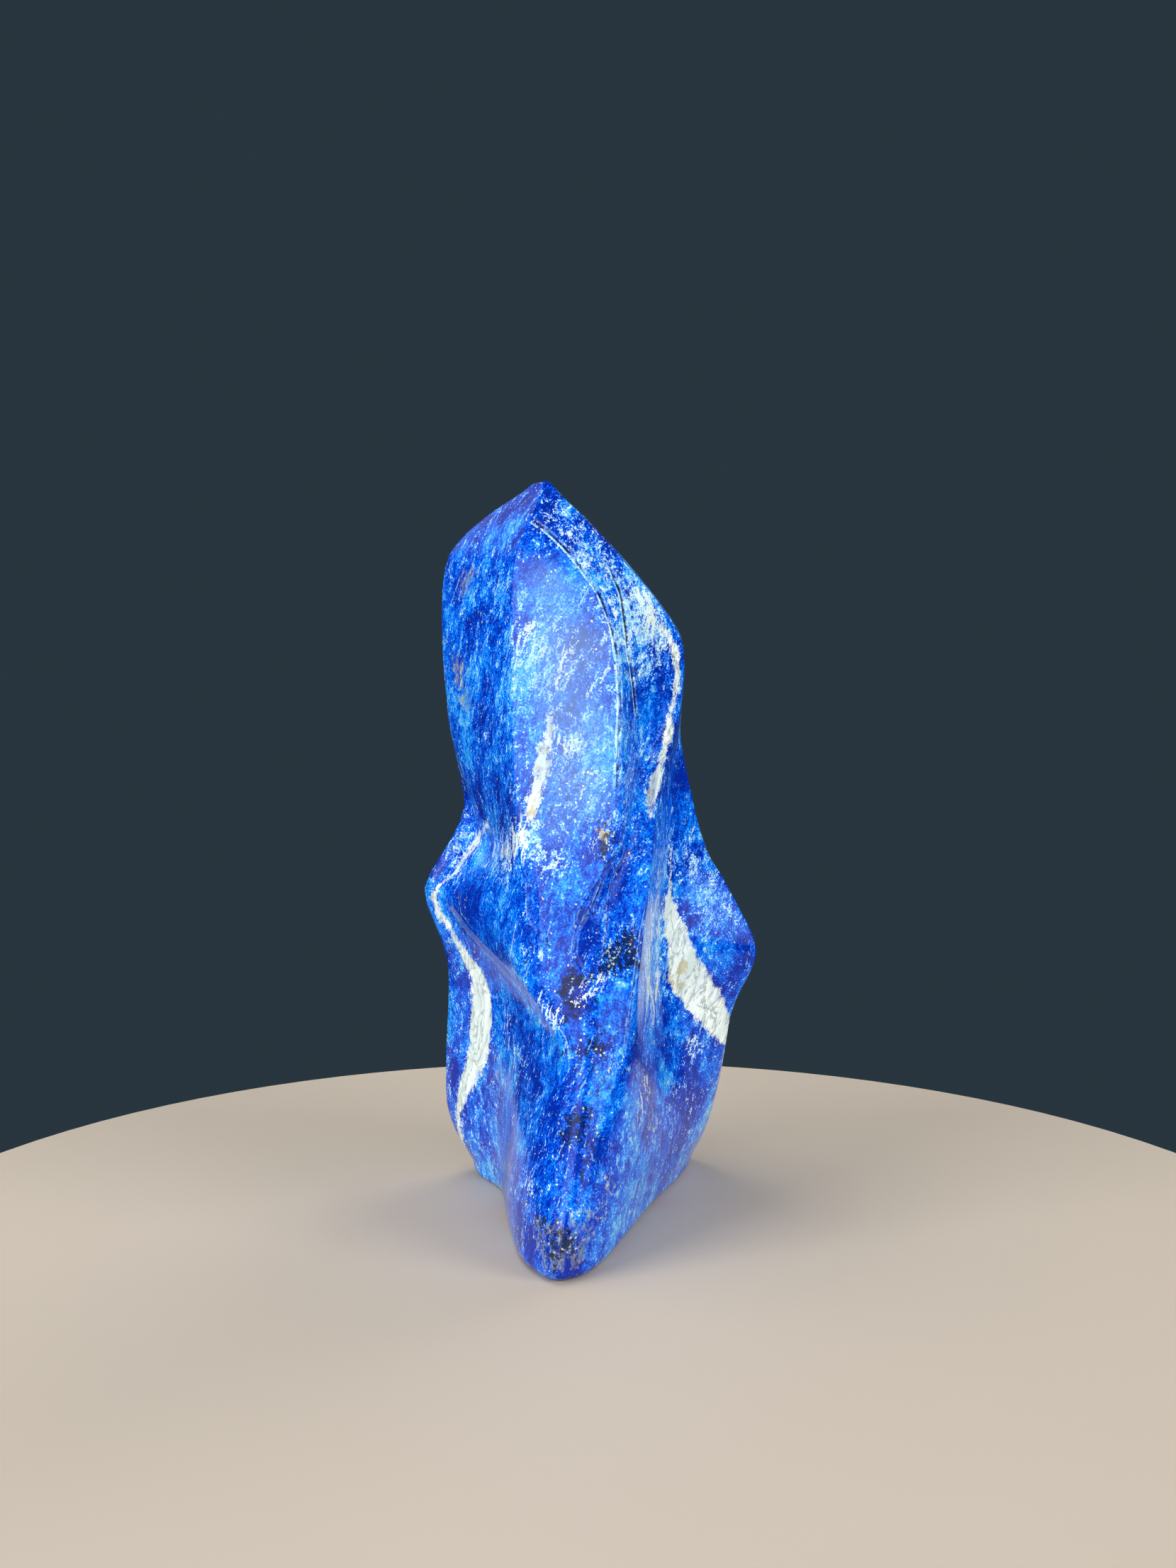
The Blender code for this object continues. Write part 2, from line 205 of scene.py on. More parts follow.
# cracks and steps that can be felt: points in mm from the top down, width and depth in mm,
# how dark the line is and how strong the painted highlight along its left lip is
cracks = {
    "upperFissure": {
        "points": [
            (-13.7, -9.7, 170.5), (-10.1, -10.6, 168.2), (-6.6, -11.8, 165), (-3, -13.3, 161),
            (0.1, -14.9, 156.6), (2.7, -16.3, 152.7), (4.6, -17.3, 147.6), (6.2, -18.4, 142.6),
            (7, -19.5, 137.6), (7.3, -19.9, 132.5), (7.5, -20.4, 126.2), (7.2, -21.1, 119.9),
            (7, -21.8, 113.6), (6.6, -22.3, 107.3),
        ],
        "width": 0.44, "depth": 0.5, "dark": 1.0, "lip": 1.0,
    },
    "secondFissure": {
        "points": [
            (4.7, -6.4, 160.6), (6.3, -8.6, 156.6), (7.9, -11.2, 152.1), (8.5, -13.8, 147.6),
            (9.1, -14.8, 142.5), (9.6, -14.9, 138.7), (10.5, -13.7, 132.3), (11.6, -11.9, 123.2),
        ],
        "width": 0.52, "depth": 0.45, "dark": 1.0, "lip": 1.0,
    },
    # the ledge is a step: its dark line is painted shade at the step and its pale lip a painted highlight
    "ledge": {
        "points": [
            (12.5, -10.5, 115.5), (11.5, -14.5, 108), (10, -18, 103), (8, -22, 96.5), (6, -24, 92.5),
            (3.5, -25.5, 88.5), (0.5, -27, 83.5), (-1.5, -28, 80), (-2.5, -28.5, 76),
            (-3, -29.5, 72.5), (-3, -30, 69.5), (-1.5, -30.5, 67),
        ],
        "width": 0.4, "depth": 0.4, "dark": 0.4, "lip": 0.15,
    },
    "rightEdge": {
        "points": [
            (18.9, -6.4, 111), (17.2, -10.7, 103.2), (15.6, -16.9, 94.9), (14.7, -19.7, 86.2),
            (13.5, -23.5, 79.6), (12.3, -25.7, 73.8), (11.2, -27.4, 66.9), (10.1, -29.4, 58.9),
            (8.7, -32, 50.6), (8.2, -33, 46.8),
        ],
        "width": 0.26, "depth": 0.28, "dark": 0.75, "lip": 0.35,
    },
    "brownCrack": {
        "points": [
            (11.4, -13.6, 112.6), (9.3, -19.8, 104.2), (8.4, -21.8, 98.6), (8.4, -21.2, 92.3),
            (6.1, -23.5, 88.6), (4.8, -25, 82.6), (4.4, -26.3, 77), (3.5, -28.7, 69.9),
        ],
        "width": 0.22, "depth": 0.14, "dark": 0.5, "lip": 0.25,
    },
    "shellEdge": {
        "points": [
            (5.2, -24.5, 92.3), (1.5, -26.9, 82), (-0.5, -27.9, 78.6), (-2.5, -28.8, 75.5),
            (-3.3, -29.4, 72.4), (-2.9, -30, 69.4), (-0.9, -30.6, 66.7),
        ],
        "width": 0.3, "depth": 0.3, "dark": 0.8, "lip": 0.35,
    },
    # painted highlight: only a pale line, along the crisp lower arris and the end of the overhang lip
    "lipLine": {
        "points": [
            (-15.2, -26.2, 78.3), (-16.9, -25.1, 74.9), (-17.7, -24.2, 70.7), (-17.7, -20.5, 64.7),
            (-16.1, -16.4, 60.1), (-10.4, -31.3, 58.8), (-7.2, -33.2, 55.2), (-4.8, -35, 52),
            (-3.8, -37.1, 47),
        ],
        "width": 0.25, "depth": 0.06, "dark": 0.0, "lip": 0.35,
    },
    # painted highlight: only a pale line, along the arris between the lower left face and the main face
    "faceLine": {
        "points": [
            (-14, -25.2, 89), (-14, -26.1, 84.7), (-14, -27, 80.5), (-13.2, -28, 77.8),
            (-11.6, -29.1, 75.2),
        ],
        "width": 0.22, "depth": 0.05, "dark": 0.0, "lip": 0.4,
    },
    "wingCrack": {
        "points": [(27, 10.5, 50), (28.5, 11.5, 49), (30, 12.5, 48), (32, 14.5, 47), (33.5, 15.5, 46)],
        "width": 0.4, "depth": 0.55, "dark": 0.85, "lip": 0.0,
    },
    "wingSideCrack": {
        "points": [(22.5, 6.5, 56), (23.5, 7.5, 53), (22.5, 7, 49.5)],
        "width": 0.25, "depth": 0.2, "dark": 0.45, "lip": 0.0,
    },
    "lobeCrack": {
        "points": [(-31.5, 5, 80.5), (-31, 1.5, 75), (-28, -3, 72)],
        "width": 0.3, "depth": 0.2, "dark": 0.2, "lip": 0.2,
    },
    "backCrack": {
        "points": [(-9, 38, 128), (-6, 38, 119), (-6.5, 38, 108), (-3, 38, 99), (-3.5, 38.5, 90)],
        "width": 0.28, "depth": 0.32, "dark": 0.8, "lip": 0.6,
    },
    "backLowCrack": {
        "points": [(-24, 42, 62), (-19, 43, 54), (-17, 44, 44), (-12, 45, 36)],
        "width": 0.26, "depth": 0.25, "dark": 0.7, "lip": 0.5,
    },
}


def surfaceOf(mesh):
    points = [vert.co.copy() for vert in mesh.vertices]
    return BVHTree.FromPolygons(points, [tuple(face.vertices) for face in mesh.polygons])


def alongSurface(points, surface, widths=None):
    # a smooth line through given points (mm), laid on the stone: [(place in m, width in mm)]
    knots = [Vector(point) for point in points]
    widths = widths or [1.0] * len(knots)
    knots = [knots[0] * 2 - knots[1]] + knots + [knots[-1] * 2 - knots[-2]]
    line = []
    for i in range(1, len(knots) - 2):
        a, b, c, d = knots[i - 1 : i + 3]
        steps = max(2, int((c - b).length / stoneShape["lineStep"]))
        for s in range(steps + (i == len(knots) - 3)):
            t = s / steps
            square, cube = 2 * a - 5 * b + 4 * c - d, 3 * b - a - 3 * c + d
            place = 0.5 * (2 * b + (c - a) * t + square * t**2 + cube * t**3)
            width = widths[i - 1] + (widths[i] - widths[i - 1]) * t
            line.append((surface.find_nearest(place * mm)[0], width))
    return line


def treeOf(line):
    tree = KDTree(len(line))
    for i, (place, _) in enumerate(line):
        tree.insert(place, i)
    tree.balance()
    return tree


def roundedStone():
    shape = bmesh.new()
    shape.from_mesh(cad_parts[stoneShape["node"]].data)
    bmesh.ops.remove_doubles(shape, verts=shape.verts, dist=0.002 * mm)
    faceBend, cornerBend = math.radians(25), math.radians(60)
    bmesh.ops.join_triangles(
        shape, faces=shape.faces, angle_face_threshold=faceBend, angle_shape_threshold=cornerBend
    )
    crease = shape.edges.layers.float.new("crease_edge")
    for edge in shape.edges:
        if len(edge.link_faces) == 2:
            bend = math.degrees(edge.calc_face_angle())
            held = (bend - stoneShape["flatBelow"]) / (stoneShape["crispAbove"] - stoneShape["flatBelow"])
            edge[crease] = stoneShape["crispness"] * min(1.0, max(0.0, held))
    mesh = bpy.data.meshes.new("coarseStone")
    shape.to_mesh(mesh)
    shape.free()
    coarse = bpy.data.objects.new("coarseStone", mesh)
    scene.collection.objects.link(coarse)
    rounding = coarse.modifiers.new("rounding", "SUBSURF")
    rounding.levels = rounding.render_levels = stoneShape["rounding"]
    graph = bpy.context.evaluated_depsgraph_get()
    smooth = bpy.data.meshes.new_from_object(coarse.evaluated_get(graph))
    bpy.data.objects.remove(coarse)
    return smooth


def sharpen(mesh, edge):
    # builds a rounded corner out to where the faces on its two sides would meet
    surface = surfaceOf(mesh)
    line = alongSurface(edge["points"], surface)
    faces = []
    for step, (place, _) in enumerate(line):
        onward = line[min(step + 4, len(line) - 1)][0] - line[max(step - 4, 0)][0]
        across = onward.cross(surface.find_nearest(place)[1]).normalized() * edge["faceAt"] * mm
        faces.append([surface.find_nearest(place + across)[:2], surface.find_nearest(place - across)[:2]])
    tree = treeOf(line)
    for vert in mesh.vertices:
        step, away = tree.find(vert.co)[1:]
        if away > edge["reach"] * mm:
            continue
        outward = (faces[step][0][1] + faces[step][1][1]).normalized()
        rise = min(
            (place - vert.co).dot(normal) / max(0.3, outward.dot(normal)) for place, normal in faces[step]
        )
        toEnd = min(step, len(line) - 1 - step) * stoneShape["lineStep"]
        fade = min(1.0, toEnd / 5.0) * min(1.0, (edge["reach"] - away / mm) / 0.8)
        vert.co += outward * min(max(0.0, rise), edge["most"] * mm) * fade


def carvedStone():
    mesh = roundedStone()
    for edge in sharpEdges.values():
        sharpen(mesh, edge)
    surface = surfaceOf(mesh)
    lines = {name: alongSurface(crack["points"], surface) for name, crack in cracks.items()}
    allTrees = [treeOf(line) for line in lines.values()]
    widths = [cracks[name]["width"] for name in lines]
    shape = bmesh.new()
    shape.from_mesh(mesh)
    for reach in stoneShape["fineReach"]:  # finer mesh beside each crack
        near = []
        for face in shape.faces:
            middle = face.calc_center_median()
            if min(tree.find(middle)[2] / width for tree, width in zip(allTrees, widths)) < reach * mm:
                near.append(face)
        edges = list(dict.fromkeys(edge for face in near for edge in face.edges))
        bmesh.ops.subdivide_edges(shape, edges=edges, cuts=1, use_grid_fill=True)
    shape.normal_update()
    moves = {}
    for vert in shape.verts:
        if vert.co.z < stoneShape["footKept"] * mm:
            continue
        place = vert.co / mm
        long = noise.noise(place / stoneShape["waveLength"])
        short = noise.noise(place / (stoneShape["waveLength"] * 0.37) + Vector((5, 1, 9)))
        moves[vert] = (long + short * 0.3) * stoneShape["waveHeight"]
    for (name, line), tree in zip(lines.items(), allTrees):
        width, depth = cracks[name]["width"], cracks[name]["depth"]
        ends = (line[0][0], line[-1][0])
        for vert in moves:
            away = tree.find(vert.co)[2] / mm
            if away > stoneShape["crackReach"]:
                continue
            toEnd = min((vert.co - end).length for end in ends) / mm
            fade = min(1.0, 0.15 + toEnd / 5.0)
            uneven = 0.75 + 0.5 * noise.noise(vert.co / mm / 2.6)
            moves[vert] -= depth * fade * uneven * math.exp(-((away / width) ** 2))
            besideLip = (away - stoneShape["lipAway"]) / stoneShape["lipWidth"]
            moves[vert] += stoneShape["lipHeight"] * fade * math.exp(-(besideLip**2))
    for vert, move in moves.items():
        vert.co += vert.normal * move * mm
    shape.to_mesh(mesh)
    shape.free()
    mesh.name = "polishedStone"
    return mesh, surface, lines


print("shaping the stone")
stoneMesh, stoneSurface, crackLines = carvedStone()
stoneMesh.shade_smooth()
stone = bpy.data.objects.new("polishedStone", stoneMesh)
scene.collection.objects.link(stone)
print("stone has", len(stoneMesh.polygons), "faces")


# where the veins run: points in mm, half widths in mm at each point
veins = {
    "rightEdge": {
        "points": [
            (13, -4.5, 152.5), (16.5, -4.5, 148), (19, -4.5, 143.5), (21, -3.5, 140),
            (21.5, -3.5, 133), (20, -5, 125.5), (19.5, -6, 120.5), (18, -8, 115), (16.5, -10.5, 110.5),
            (15, -13, 105), (15, -15, 101),
        ],
        "widths": [0.1, 0.5, 1.1, 1.2, 1.0, 1.0, 1.1, 1.4, 1.5, 1.6, 0.6],
    },
    "mainFace": {
        "points": [
            (-7.5, -18.8, 132.5), (-8.1, -19.7, 126.2), (-8.7, -20.4, 120.5), (-10.3, -21.1, 114.2),
            (-11.9, -21.9, 107.9), (-13.3, -22.7, 102.5), (-14, -23.6, 98),
        ],
        "widths": [0.5, 1.1, 1.3, 1.9, 2.0, 1.4, 0.4],
    },
    "mainFaceBranch": {
        "points": [(-2.5, -17.5, 145), (-3.5, -18.5, 140), (-5, -18.5, 136.5), (-7.5, -19, 132)],
        "widths": [0.1, 0.4, 0.5, 0.1],
    },
    "mainFaceCurl": {
        "points": [
            (-5.7, -22.7, 102.7), (-6.9, -23.1, 100.8), (-8.8, -23.2, 100), (-11.2, -23.5, 99.1),
        ],
        "widths": [0.1, 0.6, 0.6, 0.2],
    },
    "lobe": {
        "points": [
            (-24.5, 2.5, 97), (-28, 11.5, 92), (-31, 11.5, 87), (-34, 11, 83), (-37.5, 12.5, 80),
            (-39, 13, 77), (-37.5, 13, 73), (-35.3, 12.2, 70), (-33.2, 12.1, 65.2),
            (-30.5, 11.4, 61.4), (-27.9, 10.6, 57.1), (-26.9, 10.9, 52.7), (-27, 12, 46.2),
            (-27.8, 13.9, 39.1), (-28.8, 16.1, 33.6), (-31.5, 20.5, 27), (-34, 24.5, 18.5),
            (-34, 27, 12), (-33.5, 31, 6),
        ],
        "widths": [
            0.5, 1.0, 1.0, 0.9, 0.8, 0.8, 0.9, 1.1, 1.4, 2.2, 3.6, 4.6, 5.0, 4.8, 3.6, 2.6, 1.8, 1.2,
            1.0,
        ],
    },
    "wing": {
        "points": [
            (20.6, 4.5, 99.7), (20.7, 4.5, 91.2), (20.4, 4.1, 80.8), (20.1, 3.7, 78),
            (20.7, 4.5, 72.1), (22.2, 5.4, 67.2), (23.2, 6.1, 62.3), (25.2, 7.9, 57.1),
            (28.8, 11.1, 51.5), (32, 14.4, 46.4), (34.4, 17.2, 42.8), (33.5, 24, 38), (31, 31, 32),
            (27, 37, 25), (21, 42, 17),
        ],
        "widths": [0.1, 0.3, 1.1, 1.6, 2.7, 3.7, 4.6, 5.2, 4.8, 4.2, 3.6, 3.0, 2.1, 1.2, 0.3],
    },
    "valley": {
        "points": [
            (17.3, -8.3, 91.4), (17, -6.7, 82.4), (15.5, -10.4, 73.3), (14.6, -13, 62),
            (16, -5.5, 52.5), (15.4, -9.8, 46),
        ],
        "widths": [0.1, 0.5, 0.9, 1.2, 1.0, 0.2],
    },
    "valleyFront": {
        "points": [(13.6, -20.2, 71.3), (14, -16.8, 65), (14.3, -14, 57), (13, -21, 47.9)],
        "widths": [0.1, 0.6, 0.8, 0.2],
    },
    "valleyBack": {
        "points": [(17.5, 1, 64), (16.5, -2, 55.5), (15.5, -8.5, 48)],
        "widths": [0.4, 0.9, 0.3],
    },
    "besideFissure": {
        "points": [
            (-5, -11.5, 164), (1, -12, 159), (3.5, -14.5, 154), (6, -15.5, 148.5), (7.5, -15.5, 145),
        ],
        "widths": [0.1, 0.3, 0.5, 0.5, 0.1],
    },
    "backBand": {
        "points": [
            (-39, 19, 81), (-35.5, 27, 86), (-27, 36, 95), (-19, 39, 104), (-8, 38.5, 112),
            (3, 38.5, 117), (13, 38, 126), (17, 33, 136),
        ],
        "widths": [0.6, 1.0, 1.8, 2.8, 3.2, 2.2, 1.2, 0.3],
    },
    "backBranch": {
        "points": [(-20, 38, 140), (-21, 39, 128), (-19, 39, 117), (-19.5, 38.5, 104)],
        "widths": [0.2, 0.7, 1.1, 0.3],
    },
    "backLow": {
        "points": [(14, 46, 52), (9, 46, 44), (5, 45, 33), (2, 46, 20), (-3, 47, 8)],
        "widths": [0.3, 1.2, 2.2, 1.5, 0.7],
    },
    "roofBack": {
        "points": [(21.5, 18, 128), (21, 22, 116), (21, 24, 103), (24.5, 24, 90)],
        "widths": [0.2, 0.8, 1.0, 0.3],
    },
    "leftBack": {
        "points": [(-35.5, 22, 150), (-36, 24, 138), (-35, 25, 126), (-33, 24, 114)],
        "widths": [0.2, 0.7, 0.9, 0.3],
    },
}

# hairline seams with pale dots along them: points in mm
seams = [
    [(-6.5, -22, 108), (-3.5, -22, 110), (0, -22, 112.5), (3.5, -22, 113.5), (6, -21.5, 116)],
    [(-5.5, -22.5, 104.5), (-2.5, -22.5, 106.5), (0, -22, 108), (3, -22, 110)],
    [(-18, -13.5, 155.5), (-14.5, -14.5, 156), (-10, -14.5, 157), (-5.5, -15, 157), (-2, -14.5, 158.5)],
    [(-5.5, -21.5, 114), (-1, -21.5, 117), (2.5, -21.5, 118.5), (6, -21.5, 120)],
    [(-16.5, -14.5, 154), (-16, -15.5, 147.5), (-16.5, -17, 140), (-17.5, -18, 132.5)],
    [(-22.5, -14, 80.5), (-21, -17.5, 75.5), (-19.5, -20.5, 70)],
    [(26.5, 11, 95), (25, 9, 91), (23.5, 8, 86.5)],
    [(-27, 8, 60), (-22, -1, 50), (-18, -8, 38)],
    [(-32, 20, 132), (-24, 33, 124), (-14, 38.5, 120)],
    [(12, 44, 70), (4, 42, 76), (-6, 41, 79), (-16, 42, 86)],
    [(22, 22, 60), (25, 31, 55), (22, 38, 48)],
]

# soft patches: place in mm, radius in mm, strength. Pale and deep shift the blue, calm evens it out,
# frost thickens the white dashes, bright whitens a vein, and gloss is the polish (less than 0 dulls it).
# Gloss also lays a painted sheen on the main face.
patches = {
    "paleZone": [
        (-0.1, -32, 62.2, 3, 0.5), (-8.8, -32, 58.5, 3, 0.5), (-10.4, -30, 71, 3, 0.5),
        (11.8, -9.7, 147.6, 7, 1.0), (15.7, -7.8, 142.4, 6, 0.9), (13.1, -11.1, 136, 5, 0.6),
        (-4, -6, 172, 6, 0.6), (13.6, -20, 71, 5, 1.0), (14, -16, 65, 5, 1.0), (14.3, -14, 58, 5, 1.0),
        (15.5, -8, 50, 5, 0.9), (14.5, -16, 79, 5, 0.9), (16.5, -9, 84, 5, 0.7), (25, 0, 30, 8, 0.5),
        (24, 8, 22, 8, 0.5), (18.5, 1, 75, 4, 1.0), (18, 0, 65, 4, 1.0), (17.5, -1, 55, 4, 0.8),
        (-13, -17, 142.5, 6, 0.45), (-5, -18.5, 138, 6, 0.5), (7, -16, 142.5, 6, 1.0),
        (-15, -18.5, 131, 6, 0.3), (-10, -24, 95.5, 6, 0.5), (3, -20.5, 125, 12, 0.2),
        (-9, -16.5, 155, 10, 0.35), (-2, -22, 110, 10, 0.3), (-11.5, -29.5, 73, 4, 0.5),
        (4, -45, 16, 3.5, 1.0), (28.5, 10, 80, 11, 0.6), (34, 12, 74.5, 4, 0.7),
        (12.5, -10, 117, 4, 0.6), (26, 9.5, 84.5, 3, 1.0), (30.5, 9, 68.5, 4, 0.5),
        (7, -23, 100, 5, 0.4), (27, 12.5, 38.5, 4.5, 1.3), (-7.5, -25.5, 89.5, 4, 0.6),
        (-3.5, -21, 118.5, 2.0, 1.4), (0, -8, 165, 10, 0.9), (14, -5, 151, 7, 1.0),
        (9, -13, 145, 5, 0.8), (14.5, -8.5, 137, 5, 0.7), (-32, 12, 90, 5, 1.0), (-35, 13, 88, 4, 0.5),
        (-3, -22, 108, 6, 0.3), (15, -12, 62, 4, 0.6), (18.5, 1, 88, 6, 1.0), (17, -1, 100, 4, 0.6),
        (-5.5, -39, 40, 2.2, 1.5), (6.5, -34.5, 46.5, 3, 1.3), (-13.5, -37.5, 19, 3, 1.3),
        (-15, -16, 40, 4, 0.8), (-10.5, -33.5, 34.5, 3, 1.0), (-7.5, -46, 19, 3, 0.6),
        (-17.5, -6.5, 41.5, 4, 0.8), (-9, -41, 27, 3, 0.7), (-2.5, -48, 15, 2.5, 1.3),
        (8, -34, 27, 6, 0.5), (13, -20, 35, 5, 0.6), (-19, -14, 92, 5, 1.0), (-16, -21, 95, 5, 0.9),
        (-22, -6, 90, 4, 0.7), (-12, -22, 116, 6, 0.4), (5, 38, 105, 12, 0.7), (-12, 45, 45, 14, 0.6),
        (20, 30, 118, 10, 0.6), (-5, 39, 140, 12, 0.5), (-28, 38, 60, 9, 0.6), (-5, 12, 172, 8, 0.6),
        (30, 33, 25, 8, 0.7), (16, 44, 90, 9, 0.6), (-30, 32, 100, 7, 0.7),
    ],
    "deepZone": [
        (-18, -5, 45, 16, 0.4), (8, -25, 35, 18, 0.4), (0, -42, 22, 14, 0.4), (20, 0, 40, 14, 0.3),
        (-2, -33, 58, 9, 0.6), (2.1, -10.8, 159.1, 3, 0.5), (-9, -13, 158, 8, 0.45),
        (-8, -46, 8, 7, 1.0), (10.4, -14.2, 127.8, 4, 0.3), (15.1, -8.4, 129.5, 5, 0.2),
        (18.4, -6.8, 132, 4, 0.2), (0, -40, 42, 9, 0.4), (14, -16, 24, 12, 0.6),
        (1.5, -24.5, 91, 4, 0.8), (-6.5, -31, 65, 6, 1.0), (-0.5, -39, 44, 8, 1.3),
        (0, -35, 53, 6, 1.2), (-31, 2, 76, 8, 1.0), (-25, -8, 74, 8, 1.0), (17, -7, 125, 6, 0.1),
        (-29, 3.5, 116, 9, 0.6), (-19, -2, 52, 9, 0.8), (7, -23.5, 85, 6, 0.6),
        (-20, -10, 105, 7, 0.6), (23, -1, 118, 6, 0.4), (-10, -30, 72, 5, 0.3), (-8, -29, 79, 7, 0.7),
        (-1, -28, 79, 6, 0.6), (-3, -42, 36, 6, 0.8), (23.5, 9, 104, 8, 1.0), (39, 12, 64, 4, 0.6),
        (28.5, 8.5, 64, 3, 0.6), (-2, -49, 3.5, 4, 1.0), (-13.5, -43.5, 4.5, 4, 0.8),
        (-35.5, 24, 29.5, 5, 0.8), (-20, 0, 44, 5, 0.6), (1.5, -42.5, 28, 4, 0.6),
        (-22, -6, 60, 6, 0.8), (10, -29, 56, 4, 0.5), (5, -31, 60, 5, 0.8), (-4, -42, 32, 8, 0.4),
        (2, -37, 49, 7, 0.4), (-29, -1, 78, 6, 0.4), (13, -22, 37, 9, 0.4), (-9, -47, 10, 7, 0.5),
        (10, 45, 85, 12, 0.5), (-20, 42, 25, 12, 0.6), (-34, 33, 110, 9, 0.6), (8, 38, 128, 9, 0.6),
        (-14, 41, 72, 8, 0.6),
    ],
    "calmZone": [
        (-10, -28, 80, 7, 1.0), (-29, 1, 76, 8, 0.9), (-22, -12, 76, 7, 0.9), (18, -6, 120, 8, 0.8),
        (-26, 6, 60, 7, 0.6), (-17, -24, 72, 5, 0.8), (22, 8, 104, 7, 0.6), (-24, -4, 102, 6, 0.6),
        (-5, -45, 20, 4, 0.7), (-8, -14, 160, 9, 0.7), (-8, -18, 148, 9, 0.6), (0, -20, 132, 8, 0.5),
        (-14, -18, 125, 6, 0.5), (2, -22, 112, 6, 0.4), (9.7, -23.7, 81.5, 4, 0.8),
        (13.8, -16.8, 98, 4, 0.8), (34, 12, 66, 7, 0.6), (0, 40, 90, 8, 0.6), (-30, 36, 76, 8, 0.6),
        (30, 30, 85, 8, 0.6),
    ],
    "frostZone": [
        (-22.4, -3.4, 92.3, 3.5, 0.7), (-20.8, -10.5, 91.8, 4, 0.45), (-20, -12, 94.8, 4, 0.4),
        (-18, -18.8, 96.7, 4, 0.5), (-16.3, -22.5, 98.3, 3, 0.9), (-18.1, -19.1, 92.8, 4, 0.6),
        (-19.8, -15.1, 90, 4, 0.5), (-15.5, -23.5, 93.3, 3, 0.8), (-21.7, -8.8, 87.5, 4, 0.4),
        (-18.5, -18, 86, 4, 0.4), (-14.7, -23.6, 96, 2.4, 0.8), (-27.3, 10.8, 92.2, 3, 0.9),
        (-28.2, 11.2, 90.4, 3, 0.7), (-31.3, 12.2, 87.3, 3, 0.9), (-32.9, 10.2, 83.7, 3, 0.9),
        (-29.8, 16.3, 97.5, 3, 0.5), (-13.9, -16.4, 144.5, 3.2, 0.9), (-16.4, -16.6, 141.3, 2.4, 0.8),
        (-11.3, -17.5, 139.4, 2.4, 0.6), (-7.5, -17.1, 145.1, 2, 0.6), (-4.9, -18.2, 139.4, 2.4, 0.9),
        (-5.6, -18.5, 136.3, 2, 0.8), (-2.4, -18, 142.6, 2, 0.7), (2.7, -19.5, 135, 2.6, 0.6),
        (0.8, -19.8, 130.6, 2.2, 0.6), (-9.4, -19, 130, 2, 0.5), (-1.1, -16.4, 153.3, 2.4, 0.5),
        (-14, -18, 134, 3, 0.4), (-6.5, -20.7, 119.3, 1.4, 1.0), (-4.3, -21, 117.4, 1.4, 1.0),
        (-2.4, -21, 118.7, 1.2, 0.8), (11.9, -5.4, 153.4, 2.4, 1.0), (13.8, -5.3, 150.8, 2.6, 1.1),
        (15.4, -6.5, 146.3, 3, 1.1), (17.8, -6.1, 141.1, 2.4, 0.8), (-5, -8.6, 167.5, 2.6, 0.8),
        (-1.1, -12.8, 160.4, 2.2, 0.9), (-8.3, -7.2, 171.4, 2.6, 0.6), (6.5, -19.1, 140.1, 1.8, 0.9),
        (10.4, -13.5, 142.5, 3, 0.7), (-3, -33.2, 58.6, 2.4, 0.5), (-1.2, -32.5, 60.8, 2.6, 0.6),
        (0.6, -31.8, 62.5, 2.6, 0.6), (2.4, -30.7, 64.5, 2.4, 0.6), (-11.4, -30.8, 59.9, 2.4, 0.5),
        (-9.8, -31.6, 57.8, 2.6, 0.6), (-8, -32.6, 56.7, 2.6, 0.6), (-6.1, -33.7, 55.1, 2.4, 0.5),
        (14, -17, 66, 5, 0.8), (14.3, -13, 56, 5, 0.8), (15, -16, 80, 5, 0.6), (4.5, -29, 68, 5, 0.4),
        (-5, -32, 62, 5, 0.3), (18, 0, 70, 4, 0.7), (17.5, -1, 60, 4, 0.6), (11, -10, 149, 6, 0.5),
        (14, -7, 143, 6, 0.4), (0, -9, 163, 7, 0.5), (6, -9, 157, 5, 0.5),
        (-11.4, -29.7, 70.3, 2.2, 0.7), (-14.4, -28.5, 71, 1.8, 0.7), (-6.1, -25.5, 90.1, 2, 0.7),
        (-9.2, -25.6, 90.1, 1.8, 0.5), (-5.7, -24.7, 93.1, 1.6, 0.6), (0.2, -24, 95.4, 2, 0.6),
        (-6.1, -23.8, 96.9, 1.8, 0.5), (-11, -24.8, 92.8, 2.4, 0.4), (26, 12, 39, 3, 1.0),
        (19.5, 3, 92, 3.5, 0.6), (17, -8, 88, 4, 0.5), (15.3, -10, 68, 5, 0.6),
        (15.6, -8.8, 50, 4, 0.6), (-22, -2, 47, 6, 0.5), (-17, -9, 38, 6, 0.45), (-26, 6, 32, 6, 0.4),
        (13, -18, 36, 7, 0.5), (9, -30, 26, 6, 0.45), (16, -10, 22, 6, 0.4), (6.5, -34.5, 46, 3, 0.6),
        (-13.5, -37.5, 19, 3, 0.6), (-4, -42, 32, 9, 0.3), (13, -22, 37, 10, 0.35),
        (-22, -2, 45, 9, 0.3), (-28, -1, 78, 6, 0.3), (-4, -19, 133, 10, 0.3),
        (-2, -22, 112, 10, 0.35), (0, -37, 49, 7, 0.3), (-7, -18, 146, 8, 0.2), (-9, -47, 14, 7, 0.3),
        (5, -28, 76, 7, 0.25), (14.8, -12, 60, 5, 0.5), (14.5, -14, 72, 5, 0.5),
        (-17, 40, 112, 5, 0.8), (8, 45, 40, 5, 0.8), (-28, 32, 92, 5, 0.7), (22, 32, 60, 6, 0.6),
        (-8, 44, 20, 7, 0.5),
    ],
    "pyriteZone": [
        (-6.2, -31.6, 62.4, 2, 1.0), (-4.8, -32.6, 59.9, 2, 1.1), (-3, -33.3, 58.2, 1.6, 0.8),
        (-3.9, -31.2, 64.6, 2.4, 1.1), (-2.1, -31.4, 64.2, 2, 0.9), (-3, -33.6, 57.3, 1.6, 0.8),
